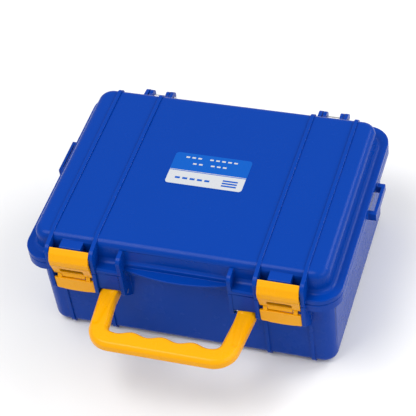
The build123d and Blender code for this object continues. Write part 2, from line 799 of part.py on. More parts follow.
with BuildPart() as front_panel:
    round_block((panel_width, panel_depth), (0, base_mid_y), panel_z, panel_top_z, base_corner - wall)
    fillet(front_panel.edges().group_by(Axis.Z)[-1], 0.5)
    # display opening with a step for the window
    round_block((display_size[0] + 0.4, display_size[1] + 0.4), (display_x, display_y),
                panel_top_z - window_seat, panel_top_z + 1, 3.0, mode=Mode.SUBTRACT)
    round_block((display_size[0] - 8, display_size[1] - 8), (display_x, display_y),
                panel_z - 1, panel_top_z, 2.0, mode=Mode.SUBTRACT)
    upright((knob_x, knob_y), bushing_radius, panel_z - 1, panel_top_z + 1, mode=Mode.SUBTRACT)
    upright((button_x, button_y), button_radius + moving_gap, panel_z - 1, panel_top_z + 1,
            mode=Mode.SUBTRACT)
    for x in socket_xs:
        upright((x, socket_y), socket_body_radius, panel_z - 1, panel_top_z + 1, mode=Mode.SUBTRACT)
    for x in key_xs:
        round_block((key_size[0] + 2 * moving_gap, key_size[1] + 2 * moving_gap), (x, key_y),
                    panel_z - 1, panel_top_z + 1, 2.0, mode=Mode.SUBTRACT)
    for spot in panel_screw_spots:
        upright(spot, panel_screw_radius, panel_z - 1, panel_top_z + 1, mode=Mode.SUBTRACT)
    for x in (-spacer_x, spacer_x):
        for y in (-spacer_y, spacer_y):
            upright((x, y), 1.25, panel_z - 1, panel_top_z + 1, mode=Mode.SUBTRACT)
keep(front_panel, "front_panel")

with BuildPart() as panel_screws:
    for spot in panel_screw_spots:
        upright(spot, panel_screw_radius, panel_z - 10, panel_top_z)
        upright(spot, screw_head[0], panel_top_z, panel_top_z + screw_head[1])
        # cross recess
        for long, short in ((3.6, 0.8), (0.8, 3.6)):
            block(
                (spot[0] - long / 2, spot[1] - short / 2, panel_top_z + screw_head[1] - 1.2),
                (spot[0] + long / 2, spot[1] + short / 2, panel_top_z + screw_head[1] + 1),
                mode=Mode.SUBTRACT,
            )
keep(panel_screws, "panel_screws")

with BuildPart() as display_window:
    round_block(display_size, (display_x, display_y), panel_top_z - window_seat, panel_top_z, 2.8)
keep(display_window, "display_window")

with BuildPart() as display_module:
    round_block((display_size[0] - 4, display_size[1] - 4), (display_x, display_y), panel_z - 7,
                panel_z, 1.0)
keep(display_module, "display_module")

with BuildPart() as display_frame:
    # dark mask just under the window
    round_block((display_size[0] - 8.4, display_size[1] - 8.4), (display_x, display_y), panel_z,
                panel_top_z - window_seat, 1.8)
    round_block((display_size[0] - 18, display_size[1] - 16), (display_x, display_y), panel_z - 1,
                panel_top_z, 1.0, mode=Mode.SUBTRACT)
keep(display_frame, "display_frame")

# ---------------------------------------------------------------- range switch
knob_bottom_z = panel_top_z + 0.6
knob_skirt = 3.4

with BuildPart() as range_knob:
    upright((knob_x, knob_y), knob_radius, knob_bottom_z, knob_bottom_z + knob_skirt)
    chamfer(range_knob.edges().group_by(Axis.Z)[-1], 0.8)
    # finger bar across the skirt
    round_block((12.0, 2 * knob_radius - 3), (knob_x, knob_y), knob_bottom_z,
                knob_bottom_z + knob_height, 5.5, 3.0)
    chamfer(range_knob.faces().sort_by(Axis.Z)[-1].outer_wire().edges(), 1.0)
    # groove for the pointer line
    block(
        (knob_x - 0.6, knob_y + 4, knob_bottom_z + knob_height - 0.6),
        (knob_x + 0.6, knob_y + knob_radius, knob_bottom_z + knob_height + 1),
        mode=Mode.SUBTRACT,
    )
    upright((knob_x, knob_y), shaft_radius, knob_bottom_z - 1, knob_bottom_z + 10, mode=Mode.SUBTRACT)
keep(range_knob, "range_knob")

with BuildPart() as knob_shaft:
    upright((knob_x, knob_y), shaft_radius, panel_z - 12, knob_bottom_z + 10)
keep(knob_shaft, "knob_shaft")

with BuildPart() as rotary_switch:
    round_block((30.0, 30.0), (knob_x, knob_y), panel_z - 16, panel_z, 6.0)
    upright((knob_x, knob_y), bushing_radius, panel_z, panel_top_z)
    upright((knob_x, knob_y), shaft_radius + running_gap, panel_z - 12, panel_top_z + 1,
            mode=Mode.SUBTRACT)
    # solder tags
    for x in (-9, -3, 3, 9):
        for y in (-9, 9):
            block((knob_x + x - 0.6, knob_y + y - 0.3, panel_z - 20),
                  (knob_x + x + 0.6, knob_y + y + 0.3, panel_z - 16))
keep(rotary_switch, "rotary_switch")

# ---------------------------------------------------------------- test button
button_flange_z = panel_z - 0.4
button_stem_z = panel_z - 8.0

with BuildPart() as test_button:
    upright((button_x, button_y), button_radius, button_flange_z - 2, panel_top_z + button_height)
    fillet(test_button.edges().group_by(Axis.Z)[-1], 1.6)
    upright((button_x, button_y), button_radius + 1.6, button_flange_z - 2, button_flange_z)
    upright((button_x, button_y), shaft_radius, button_stem_z, button_flange_z - 2)
keep(test_button, "test_button")

board_top_z = board_z + board_thickness
test_switch_top_z = button_stem_z - button_travel - 0.4

with BuildPart() as test_switch:
    round_block((16.0, 16.0), (button_x, button_y), board_top_z, test_switch_top_z - 3, 1.0)
    upright((button_x, button_y), 3.4, test_switch_top_z - 3, test_switch_top_z)
keep(test_switch, "test_switch")

# ---------------------------------------------------------------- keys under the display
key_names = ["key_one", "key_two", "key_three", "key_four"]
key_flange_top_z = panel_z - 0.4
key_bottom_z = key_flange_top_z - key_flange
key_board_z = key_bottom_z - key_travel - 0.4 - 4.6


def build_key(x):
    """Draw one key into the open part."""
    round_block(key_size, (x, key_y), key_bottom_z, panel_top_z + key_height, 1.8)
    round_block((key_size[0] + 2.4, key_size[1] + 2.4), (x, key_y), key_bottom_z, key_flange_top_z, 1.8)


with BuildPart() as key_one:
    build_key(key_xs[0])
    fillet(key_one.edges().group_by(Axis.Z)[-1], 0.9)
keep(key_one, "key_one")

with BuildPart() as key_two:
    build_key(key_xs[1])
    fillet(key_two.edges().group_by(Axis.Z)[-1], 0.9)
keep(key_two, "key_two")

with BuildPart() as key_three:
    build_key(key_xs[2])
    fillet(key_three.edges().group_by(Axis.Z)[-1], 0.9)
keep(key_three, "key_three")

with BuildPart() as key_four:
    build_key(key_xs[3])
    fillet(key_four.edges().group_by(Axis.Z)[-1], 0.9)
keep(key_four, "key_four")

with BuildPart() as key_board:
    round_block((key_count * key_pitch, 12.0), (display_x, key_y), key_board_z - board_thickness,
                key_board_z, 1.0)
keep(key_board, "key_board")

with BuildPart() as key_switches:
    for x in key_xs:
        round_block((6.0, 6.0), (x, key_y), key_board_z, key_board_z + 3.6, 0.5)
        upright((x, key_y), 1.7, key_board_z + 3.6, key_board_z + 4.6)
keep(key_switches, "key_switches")

with BuildPart() as key_posts:
    for x in (display_x - key_pitch, display_x + key_pitch):
        upright((x, key_y), 2.5, board_top_z, key_board_z - board_thickness)
keep(key_posts, "key_posts")

# ---------------------------------------------------------------- sockets for the test leads
socket_top_z = panel_top_z + 3.0
contact_radius = 3.2


def build_socket(x):
    """Draw one test lead socket into the open part."""
    upright((x, socket_y), socket_radius, panel_top_z, socket_top_z)
    upright((x, socket_y), socket_body_radius, panel_top_z - socket_depth, panel_top_z)
    upright((x, socket_y), contact_radius, panel_top_z - socket_depth, socket_top_z, mode=Mode.SUBTRACT)


with BuildPart() as line_socket:
    build_socket(socket_xs[0])
    chamfer(line_socket.faces().sort_by(Axis.Z)[-1].outer_wire().edges(), 0.6)
keep(line_socket, "line_socket")

with BuildPart() as guard_socket:
    build_socket(socket_xs[1])
    chamfer(guard_socket.faces().sort_by(Axis.Z)[-1].outer_wire().edges(), 0.6)
keep(guard_socket, "guard_socket")

with BuildPart() as earth_socket:
    build_socket(socket_xs[2])
    chamfer(earth_socket.faces().sort_by(Axis.Z)[-1].outer_wire().edges(), 0.6)
keep(earth_socket, "earth_socket")

with BuildPart() as socket_contacts:
    for x in socket_xs:
        upright((x, socket_y), contact_radius, panel_top_z - socket_depth, socket_top_z - 1)
        upright((x, socket_y), plug_radius, panel_top_z - socket_depth + 2, socket_top_z,
                mode=Mode.SUBTRACT)
keep(socket_contacts, "socket_contacts")

# ---------------------------------------------------------------- electronics
with BuildPart() as main_board:
    round_block(board_size, (0, 0), board_z, board_top_z, 3.0)
    for x in (-spacer_x, spacer_x):
        for y in (-spacer_y, spacer_y):
            upright((x, y), 1.25, board_z - 1, board_top_z + 1, mode=Mode.SUBTRACT)
keep(main_board, "main_board")

with BuildPart() as board_spacers:
    for x in (-spacer_x, spacer_x):
        for y in (-spacer_y, spacer_y):
            upright((x, y), spacer_radius, board_top_z, panel_z)
            upright((x, y), 1.25, board_z - 1.5, board_top_z)
            upright((x, y), spacer_radius, board_z - 1.5, board_z)
            upright((x, y), 1.25, panel_z, panel_top_z)
keep(board_spacers, "board_spacers")

with BuildPart() as hv_module:
    round_block((42.0, 38.0), (20.0, -38.0), board_top_z, board_top_z + 17, 2.0)
keep(hv_module, "hv_module")

with BuildPart() as capacitors:
    for spot in ((30.0, 46.0), (42.0, 50.0), (-12.0, 40.0), (-24.0, 40.0)):
        upright(spot, 4.0, board_top_z, board_top_z + 14)
keep(capacitors, "capacitors")

with BuildPart() as buzzer:
    upright((10.0, 10.0), 6.0, board_top_z, board_top_z + 7)
    upright((10.0, 10.0), 1.0, board_top_z + 5, board_top_z + 8, mode=Mode.SUBTRACT)
keep(buzzer, "buzzer")

# ---------------------------------------------------------------- batteries under the hatch
with BuildPart() as battery_box:
    round_block((hole_width + 2 * tray_wall, hole_depth + 2 * tray_wall), (0, 0), cover_seat_z,
                tray_top_z, 3.0)
    block((-hole_width / 2, -hole_depth / 2, cover_seat_z - 1),
          (hole_width / 2, hole_depth / 2, tray_top_z - tray_wall), mode=Mode.SUBTRACT)
keep(battery_box, "battery_box")

cell_xs = [(i - (cells_across - 1) / 2) * (2 * cell_radius + cell_gap) for i in range(cells_across)]

with BuildPart() as battery_cells:
    for i, x in enumerate(cell_xs):
        for row in (-1, 1):
            # the raised end of each cell points the same way along its column
            point = 1 if i % 2 else -1
            low_y = -cell_length if row < 0 else 0.0
            body_low = low_y + (1.2 if point < 0 else 0.0)
            with BuildSketch(Plane.XZ.offset(-body_low)) as can:
                with Locations((x, cell_z)):
                    Circle(cell_radius)
            extrude(can.sketch, amount=-(cell_length - 1.2))
            with BuildSketch(Plane.XZ.offset(-low_y)) as nub:
                with Locations((x, cell_z)):
                    Circle(3.7)
            extrude(nub.sketch, amount=-cell_length)
keep(battery_cells, "battery_cells")

with BuildPart() as battery_contacts:
    for x in cell_xs:
        for end in (-1, 1):
            face_y = end * hole_depth / 2
            near_y = end * (hole_depth / 2 - 0.6)
            block((x - 9, min(face_y, near_y), cell_z - 8), (x + 9, max(face_y, near_y), cell_z + 8))
            with BuildSketch(Plane.XZ.offset(-end * cell_length)) as spring:
                with Locations((x, cell_z)):
                    Circle(3.0)
            extrude(spring.sketch, amount=-end * (contact_space - 0.6))
keep(battery_contacts, "battery_contacts")

with BuildPart() as battery_cover:
    round_block((cover_width, cover_depth), (0, 0), 0, cover_thickness, 3.0)
    # finger groove at the front edge
    block((-12, -cover_depth / 2 + 9, -1), (12, -cover_depth / 2 + 12, 1.2), mode=Mode.SUBTRACT)
    for x in (-cover_screw_x, cover_screw_x):
        for y in (-cover_screw_y, cover_screw_y):
            upright((x, y), 1.25, -1, cover_thickness + 1, mode=Mode.SUBTRACT)
            upright((x, y), 2.8, -1, 1.8, mode=Mode.SUBTRACT)
keep(battery_cover, "battery_cover")

with BuildPart() as cover_screws:
    for x in (-cover_screw_x, cover_screw_x):
        for y in (-cover_screw_y, cover_screw_y):
            upright((x, y), 1.25, 0.2, cover_seat_z)
            upright((x, y), 2.5, 0.2, 1.8)
            block((x - 1.8, y - 0.4, 0), (x + 1.8, y + 0.4, 1.2), mode=Mode.SUBTRACT)
            block((x - 0.4, y - 1.8, 0), (x + 0.4, y + 1.8, 1.2), mode=Mode.SUBTRACT)
keep(cover_screws, "cover_screws")
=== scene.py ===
from math import cos, radians, sin

import bmesh
import bpy
from mathutils import Matrix, Vector


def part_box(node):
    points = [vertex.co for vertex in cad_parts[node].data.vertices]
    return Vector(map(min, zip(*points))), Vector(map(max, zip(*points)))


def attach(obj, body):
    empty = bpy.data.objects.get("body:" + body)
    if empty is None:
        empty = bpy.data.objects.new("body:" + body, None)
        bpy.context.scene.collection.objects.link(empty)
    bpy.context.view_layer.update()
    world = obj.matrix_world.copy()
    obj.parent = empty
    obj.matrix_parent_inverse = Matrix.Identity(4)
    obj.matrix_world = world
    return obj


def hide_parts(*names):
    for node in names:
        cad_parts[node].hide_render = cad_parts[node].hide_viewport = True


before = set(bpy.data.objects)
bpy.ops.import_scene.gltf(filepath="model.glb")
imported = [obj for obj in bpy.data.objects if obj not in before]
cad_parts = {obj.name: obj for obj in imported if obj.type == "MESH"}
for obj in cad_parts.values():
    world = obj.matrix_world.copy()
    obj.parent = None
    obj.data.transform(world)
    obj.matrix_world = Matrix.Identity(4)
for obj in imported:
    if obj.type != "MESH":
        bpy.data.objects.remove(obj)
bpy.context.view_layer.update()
MM = 0.001

# ---------------------------------------------------------------- colours of the mouldings
CASE_BLUE = (0.0001, 0.040, 0.305)
FITTING_YELLOW = (0.82, 0.36, 0.0006)
LABEL_BLUE = (0.002, 0.085, 0.42)
LABEL_WHITE = (0.50, 0.515, 0.54)
PANEL_GREY = (0.045, 0.048, 0.055)


# ---------------------------------------------------------------- shader building
class Shade:
    """One material being wired up, node by node."""

    def __init__(self, name, color, roughness, metallic=0.0, **sockets):
        self.material = bpy.data.materials.new(name)
        self.material.use_nodes = True
        self.tree = self.material.node_tree
        self.surface = self.tree.nodes["Principled BSDF"]
        self.surface.inputs["Base Color"].default_value = (*color, 1.0)
        self.surface.inputs["Roughness"].default_value = roughness
        self.surface.inputs["Metallic"].default_value = metallic
        for socket, value in sockets.items():
            self.surface.inputs[socket.replace("_", " ")].default_value = value
        self.color = color
        self.place = self.tree.nodes.new("ShaderNodeTexCoord").outputs["Object"]

    def node(self, kind, **settings):
        """Add a node and set its settings."""
        made = self.tree.nodes.new(kind)
        for key, value in settings.items():
            setattr(made, key, value)
        return made

    def wire(self, out, into):
        """Link an output to an input."""
        self.tree.links.new(out, into)

    def effect(self, group, **values):
        """Place one of the shared effects and set its inputs."""
        made = self.tree.nodes.new("ShaderNodeGroup")
        made.node_tree = group
        self.wire(self.place, made.inputs["Place"])
        for key, value in values.items():
            made.inputs[key.replace("_", " ")].default_value = value
        return made

    def tint(self, masks):
        """Lay each (mask, colour, strength) over the plain colour in turn."""
        last = None
        for mask, color, strength in masks:
            scaled = self.node("ShaderNodeMath", operation="MULTIPLY", use_clamp=True)
            self.wire(mask, scaled.inputs[0])
            scaled.inputs[1].default_value = strength
            mix = self.node("ShaderNodeMix", data_type="RGBA")
            self.wire(scaled.outputs[0], mix.inputs["Factor"])
            if last is None:
                mix.inputs[6].default_value = (*self.color, 1.0)
            else:
                self.wire(last, mix.inputs[6])
            mix.inputs[7].default_value = (*color, 1.0)
            last = mix.outputs[2]
        self.wire(last, self.surface.inputs["Base Color"])

    def gloss(self, mask, low, high):
        """Roughness runs from low to high with the mask."""
        span = self.node("ShaderNodeMapRange")
        span.inputs["To Min"].default_value = low
        span.inputs["To Max"].default_value = high
        self.wire(mask, span.inputs["Value"])
        self.wire(span.outputs["Result"], self.surface.inputs["Roughness"])

    def relief(self, height, depth, strength=1.0):
        """Bump from a height, depth in metres."""
        bump = self.node("ShaderNodeBump")
        bump.inputs["Strength"].default_value = strength
        bump.inputs["Distance"].default_value = depth
        self.wire(height, bump.inputs["Height"])
        self.wire(bump.outputs["Normal"], self.surface.inputs["Normal"])


def new_group(name, inputs, outputs):
    """An empty shader node group with named sockets, and handles on its two ends."""
    group = bpy.data.node_groups.new(name, "ShaderNodeTree")
    group.interface.new_socket("Place", in_out="INPUT", socket_type="NodeSocketVector")
    for socket, value in inputs.items():
        made = group.interface.new_socket(socket, in_out="INPUT", socket_type="NodeSocketFloat")
        made.default_value = value
    for socket in outputs:
        group.interface.new_socket(socket, in_out="OUTPUT", socket_type="NodeSocketFloat")
    return group, group.nodes.new("NodeGroupInput"), group.nodes.new("NodeGroupOutput")


def math_node(group, operation, first, second, clamp=False):
    """A maths node between two sockets or numbers; returns its output."""
    made = group.nodes.new("ShaderNodeMath")
    made.operation = operation
    made.use_clamp = clamp
    for slot, value in enumerate((first, second)):
        if isinstance(value, (int, float)):
            made.inputs[slot].default_value = value
        else:
            group.links.new(value, made.inputs[slot])
    return made.outputs[0]


def noise_in(group, place, scale, detail=3.0, roughness=0.55):
    """Noise at a scale that is a socket or a number; returns its value."""
    made = group.nodes.new("ShaderNodeTexNoise")
    made.inputs["Detail"].default_value = detail
    made.inputs["Roughness"].default_value = roughness
    group.links.new(place, made.inputs["Vector"])
    if isinstance(scale, (int, float)):
        made.inputs["Scale"].default_value = scale
    else:
        group.links.new(scale, made.inputs["Scale"])
    return made.outputs["Fac"]


def build_moulded_skin():
    """The fine spark-eroded skin of a moulding, with the slow unevenness of the pour."""
    group, start, end = new_group(
        "Moulded skin", {"Grain Scale": 2600.0, "Flow Scale": 18.0}, ("Flow", "Height")
    )
    place = start.outputs["Place"]
    flow_share = 0.6
    grain = noise_in(group, place, start.outputs["Grain Scale"], detail=2.0)
    flow = noise_in(group, place, start.outputs["Flow Scale"], detail=4.0)
    swell = math_node(group, "MULTIPLY", flow, flow_share)
    group.links.new(flow, end.inputs["Flow"])
    group.links.new(math_node(group, "ADD", grain, swell), end.inputs["Height"])
    return group


def build_handling_marks():
    """Fine scuffs from being carried and put down."""
    group, start, end = new_group(
        "Handling marks", {"Scale": 90.0, "Amount": 0.35}, ("Scuffs", "Smears")
    )
    place = start.outputs["Place"]
    slant, narrowing = (0.4, 0.2, 0.7), (1.0, 9.0, 9.0)
    highest_limit, limit_fall, contrast = 0.78, 0.2, 9.0
    stretch = group.nodes.new("ShaderNodeMapping")
    stretch.inputs["Rotation"].default_value = slant
    stretch.inputs["Scale"].default_value = narrowing
    group.links.new(place, stretch.inputs["Vector"])
    lines = noise_in(group, stretch.outputs["Vector"], start.outputs["Scale"], 5.0, 0.7)
    patches = noise_in(group, place, 35.0, detail=2.0)
    eased = math_node(group, "MULTIPLY", start.outputs["Amount"], limit_fall)
    limit = math_node(group, "SUBTRACT", highest_limit, eased)
    over = math_node(group, "SUBTRACT", lines, limit)
    sharp = math_node(group, "MULTIPLY", over, contrast, clamp=True)
    scuffs = math_node(group, "MULTIPLY", sharp, patches, clamp=True)
    group.links.new(scuffs, end.inputs["Scuffs"])
    group.links.new(noise_in(group, place, 55.0), end.inputs["Smears"])
    return group


def build_settled_dust():
    """Dust that lies on what faces up."""
    group, start, end = new_group("Settled dust", {"Amount": 0.5}, ("Dust",))
    steepest, sparsest, contrast = 0.55, 0.62, 6.0
    facing = group.nodes.new("ShaderNodeNewGeometry")
    parts = group.nodes.new("ShaderNodeSeparateXYZ")
    group.links.new(facing.outputs["Normal"], parts.inputs[0])
    level = math_node(group, "SUBTRACT", parts.outputs["Z"], steepest, clamp=True)
    specks = noise_in(group, start.outputs["Place"], 420.0, 4.0, 0.7)
    over = math_node(group, "SUBTRACT", specks, sparsest)
    dots = math_node(group, "MULTIPLY", over, contrast, clamp=True)
    both = math_node(group, "MULTIPLY", level, dots, clamp=True)
    dust = math_node(group, "MULTIPLY", both, start.outputs["Amount"], clamp=True)
    group.links.new(dust, end.inputs["Dust"])
    return group


def build_drawn_metal():
    """Fine lines left by drawing or turning."""
    group, start, end = new_group("Drawn metal", {"Scale": 900.0}, ("Lines", "Tarnish"))
    place = start.outputs["Place"]
    along_the_draw = (0.06, 1.0, 1.0)
    squeeze = group.nodes.new("ShaderNodeVectorMath")
    squeeze.operation = "MULTIPLY"
    squeeze.inputs[1].default_value = along_the_draw
    group.links.new(place, squeeze.inputs[0])
    lines = noise_in(group, squeeze.outputs[0], start.outputs["Scale"], detail=4.0)
    group.links.new(lines, end.inputs["Lines"])
    group.links.new(noise_in(group, place, 140.0, detail=4.0), end.inputs["Tarnish"])
    return group


DUST_COLOR = (0.55, 0.56, 0.58)
MOULDED_SKIN = build_moulded_skin()
HANDLING_MARKS = build_handling_marks()
SETTLED_DUST = build_settled_dust()
DRAWN_METAL = build_drawn_metal()


def moulded(name, color, roughness, depth=0.012 * MM, grain=2600.0, scuffs=0.25, dust=0.3,
            **sockets):
    """Moulded plastic with its skin, a little unevenness, scuffs and dust."""
    shade = Shade(name, color, roughness, **sockets)
    skin = shade.effect(MOULDED_SKIN, Grain_Scale=grain)
    marks = shade.effect(HANDLING_MARKS, Amount=scuffs)
    fall = shade.effect(SETTLED_DUST, Amount=dust)
    pale = tuple(min(1.0, part * 1.25 + 0.01) for part in color)
    deep = tuple(part * 0.86 for part in color)
    shinier, duller = roughness - 0.05, roughness + 0.09
    shade.tint([
        (skin.outputs["Flow"], deep, 0.35),
        (marks.outputs["Scuffs"], pale, 0.35),
        (fall.outputs["Dust"], DUST_COLOR, 0.04),
    ])
    shade.gloss(marks.outputs["Smears"], shinier, duller)
    shade.relief(skin.outputs["Height"], depth, 0.5)
    return shade.material


def metal(name, color, roughness, lines=900.0):
    """Bare metal with fine lines along it and a little tarnish."""
    shade = Shade(name, color, roughness, metallic=1.0)
    drawn = shade.effect(DRAWN_METAL, Scale=lines)
    tarnished = tuple(part * 0.7 for part in color)
    shinier, duller = roughness - 0.07, roughness + 0.12
    shade.tint([(drawn.outputs["Tarnish"], tarnished, 0.45)])
    shade.gloss(drawn.outputs["Lines"], shinier, duller)
    shade.relief(drawn.outputs["Lines"], 0.02 * MM, 0.35)
    return shade.material


case_plastic = moulded("Blue shell plastic", CASE_BLUE, 0.24, dust=0.12,
                       Specular_IOR_Level=0.10)
fitting_plastic = moulded("Fitting plastic", FITTING_YELLOW, 0.25, dust=0.12,
                          Specular_IOR_Level=0.16)
panel_plastic = moulded("Panel plastic", PANEL_GREY, 0.52, depth=0.03 * MM, grain=1500.0)
knob_plastic = moulded("Knob plastic", (0.018, 0.018, 0.02), 0.42, grain=1800.0)
dark_moulding = moulded("Dark moulding", (0.02, 0.02, 0.023), 0.55)
tray_plastic = moulded("Tray plastic", (0.025, 0.025, 0.028), 0.5)
key_rubber = moulded("Key rubber", (0.33, 0.35, 0.37), 0.62, grain=3000.0)
button_plastic = moulded("Button plastic", (0.55, 0.012, 0.008), 0.25, Coat_Weight=0.3,
                         Coat_Roughness=0.08)
socket_red = moulded("Red socket plastic", (0.5, 0.01, 0.008), 0.3)
socket_blue = moulded("Blue socket plastic", (0.01, 0.05, 0.3), 0.3)
socket_black = moulded("Black socket plastic", (0.012, 0.012, 0.013), 0.3)
nylon = moulded("Nylon", (0.62, 0.60, 0.54), 0.5, Subsurface_Weight=0.1,
                Subsurface_Scale=2 * MM)
seal_rubber = moulded("Seal rubber", (0.012, 0.012, 0.012), 0.72, grain=3600.0, dust=0.5)
steel = metal("Drawn steel", (0.62, 0.62, 0.64), 0.3)
screw_steel = metal("Plated steel", (0.55, 0.55, 0.57), 0.34, 1600.0)
brass = metal("Turned brass", (0.72, 0.52, 0.22), 0.26, 1400.0)
contact_steel = metal("Nickel strip", (0.60, 0.59, 0.56), 0.28)
can_metal = metal("Capacitor can", (0.30, 0.33, 0.42), 0.3)


def build_board_mask():
    """Solder mask with paler runs of copper under it."""
    copper_tint, deep_tint = (0.03, 0.22, 0.09), (0.004, 0.05, 0.02)
    shade = Shade("Board lacquer", (0.008, 0.09, 0.035), 0.34, Coat_Weight=0.4,
                  Coat_Roughness=0.15)
    bricks = shade.node("ShaderNodeTexBrick")
    bricks.inputs["Scale"].default_value = 90.0
    bricks.inputs["Mortar Size"].default_value = 0.012
    shade.wire(shade.place, bricks.inputs["Vector"])
    skin = shade.effect(MOULDED_SKIN, Grain_Scale=3000.0)
    shade.tint([
        (bricks.outputs["Fac"], copper_tint, 0.8),
        (skin.outputs["Flow"], deep_tint, 0.3),
    ])
    shade.relief(bricks.outputs["Fac"], 0.04 * MM, 0.5)
    return shade.material


def build_cell_jacket():
    """Printed cell sleeve: plain bands along each cell."""
    band_tint, band_share = (0.55, 0.36, 0.12), 0.72
    shade = Shade("Cell jacket", (0.03, 0.035, 0.05), 0.3, metallic=0.3)
    bands = shade.node("ShaderNodeTexWave", wave_type="BANDS", bands_direction="Y")
    bands.inputs["Scale"].default_value = 6.3
    bands.inputs["Distortion"].default_value = 0.0
    shade.wire(shade.place, bands.inputs["Vector"])
    edge = shade.node("ShaderNodeMath", operation="GREATER_THAN")
    edge.inputs[1].default_value = band_share
    shade.wire(bands.outputs["Fac"], edge.inputs[0])
    marks = shade.effect(HANDLING_MARKS)
    shade.tint([(edge.outputs[0], band_tint, 0.9)])
    shade.gloss(marks.outputs["Smears"], 0.24, 0.4)
    return shade.material


def build_window_glass():
    """Clear acrylic, slightly hazed by wiping."""
    shade = Shade("Window acrylic", (0.93, 0.97, 0.98), 0.06, Transmission_Weight=0.92, IOR=1.49)
    marks = shade.effect(HANDLING_MARKS, Amount=0.15)
    shade.gloss(marks.outputs["Smears"], 0.03, 0.10)
    return shade.material


def build_display_glass():
    """Grey-green liquid crystal, a little uneven in tone."""
    darker_tint = (0.27, 0.34, 0.26)
    shade = Shade("Display glass", (0.36, 0.43, 0.33), 0.28)
    skin = shade.effect(MOULDED_SKIN, Flow_Scale=12.0)
    shade.tint([(skin.outputs["Flow"], darker_tint, 0.6)])
    return shade.material


board_lacquer = build_board_mask()
cell_jacket = build_cell_jacket()
window_acrylic = build_window_glass()
display_glass = build_display_glass()
segment_ink = moulded("Segment ink", (0.004, 0.005, 0.004), 0.6, dust=0.0, scuffs=0.0,
                      Specular_IOR_Level=0.05)
print_white = moulded("White print", (0.68, 0.70, 0.72), 0.5, dust=0.0, scuffs=0.5)
print_yellow = moulded("Yellow print", (0.85, 0.42, 0.01), 0.5, dust=0.0)
label_white = moulded("White label film", LABEL_WHITE, 0.36, dust=0.1,
                      Specular_IOR_Level=0.15)
label_blue = moulded("Blue label film", LABEL_BLUE, 0.34, dust=0.1,
                     Specular_IOR_Level=0.10)


# ---------------------------------------------------------------- piece building
SHARP = radians(32)             # faces that meet more sharply than this make an edge
SHORTEST_ROUNDED = 2.5 * MM     # shorter edges are left as they are
WELD = 0.002 * MM               # points closer than this are one point
FLAT = radians(1.0)             # faces that bend less than this are merged
EDGE_STEPS = 2                  # facets across a rounded edge
ROOM = 2                        # an edge is rounded where faces are this many widths wide
WIDE_FACES_LEAD = 80            # of 100: how far large faces set the shading; 50 is even
EASE_STRENGTH = 0.5


def show(mesh, name, material, body):
    """Put a finished mesh in the scene, riding on a body."""
    piece = bpy.data.objects.new(name, mesh)
    bpy.context.scene.collection.objects.link(piece)
    mesh.materials.clear()
    mesh.materials.append(material)
    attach(piece, body)
    return piece


def mark_clear_edges(work, width):
    """Weigh the sharp edges that have room beside them for a rounding of this width."""
    weight = work.edges.layers.float.new("bevel_weight_edge")
    for edge in work.edges:
        if len(edge.link_faces) != 2 or edge.calc_length() < SHORTEST_ROUNDED:
            continue
        room = min(face.calc_area() for face in edge.link_faces) / edge.calc_length()
        if abs(edge.calc_face_angle_signed(0.0)) > SHARP and room > ROOM * width:
            edge[weight] = 1.0


def settle(piece):
    """Make the piece's modifiers part of its mesh."""
    view = bpy.context.evaluated_depsgraph_get()
    done = bpy.data.meshes.new_from_object(piece.evaluated_get(view))
    piece.modifiers.clear()
    piece.data = done


def finish_edges(piece, width):
    """Round the marked edges as a mould or a tool leaves them."""
    bevel = piece.modifiers.new("Edge", "BEVEL")
    bevel.width = width
    bevel.segments = EDGE_STEPS
    bevel.limit_method = "WEIGHT"
    bevel.use_clamp_overlap = False
    even = piece.modifiers.new("Even", "WEIGHTED_NORMAL")
    even.mode = "FACE_AREA"
    even.weight = WIDE_FACES_LEAD
    even.keep_sharp = True
    settle(piece)


def soften(node, name, body, material, width):
    """The moulded form of a CAD piece: the same faces, with its clear sharp edges rounded."""
    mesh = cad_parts[node].data.copy()
    work = bmesh.new()
    work.from_mesh(mesh)
    bmesh.ops.remove_doubles(work, verts=work.verts, dist=WELD)
    bmesh.ops.dissolve_limit(work, angle_limit=FLAT, verts=work.verts, edges=work.edges)
    for face in work.faces:
        face.smooth = True
    mark_clear_edges(work, width)
    work.to_mesh(mesh)
    work.free()
    mesh.set_sharp_from_angle(angle=SHARP)
    piece = show(mesh, name, material, body)
    finish_edges(piece, width)
    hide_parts(node)


def round_over(node, name, body, material, mesh_size, passes):
    """The hand-friendly form of a CAD piece: a fine skin over it, eased until its edges round."""
    piece = show(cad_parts[node].data.copy(), name, material, body)
    skin = piece.modifiers.new("Skin", "REMESH")
    skin.mode = "VOXEL"
    skin.voxel_size = mesh_size
    skin.use_smooth_shade = True
    ease = piece.modifiers.new("Ease", "SMOOTH")
    ease.factor = EASE_STRENGTH
    ease.iterations = passes
    settle(piece)
    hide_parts(node)


def dress(node, material):
    """Give a CAD piece that is shown as it is its material."""
    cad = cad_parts[node]
    cad.data.materials.clear()
    cad.data.materials.append(material)


# ---------------------------------------------------------------- the case and its fittings
SHELL_EDGE = 0.4 * MM
COVER_EDGE = 0.3 * MM
LEVER_EDGE = 0.3 * MM
HOOK_EDGE = 0.35 * MM
HANDLE_MESH = 0.45 * MM
HANDLE_PASSES = 34

soften("base_shell", "case_base", "base", case_plastic, SHELL_EDGE)
soften("lid_shell", "case_lid", "lid", case_plastic, SHELL_EDGE)
soften("battery_cover", "hatch_cover", "base", case_plastic, COVER_EDGE)
round_over("handle", "grip_handle", "handle", fitting_plastic,
           HANDLE_MESH, HANDLE_PASSES)
for side in ("left", "right"):
    soften(f"latch_lever_{side}", f"lever_{side}_moulding", f"lever_{side}",
           fitting_plastic, LEVER_EDGE)
    soften(f"latch_hook_{side}", f"hook_{side}_moulding", f"hook_{side}",
           fitting_plastic, HOOK_EDGE)

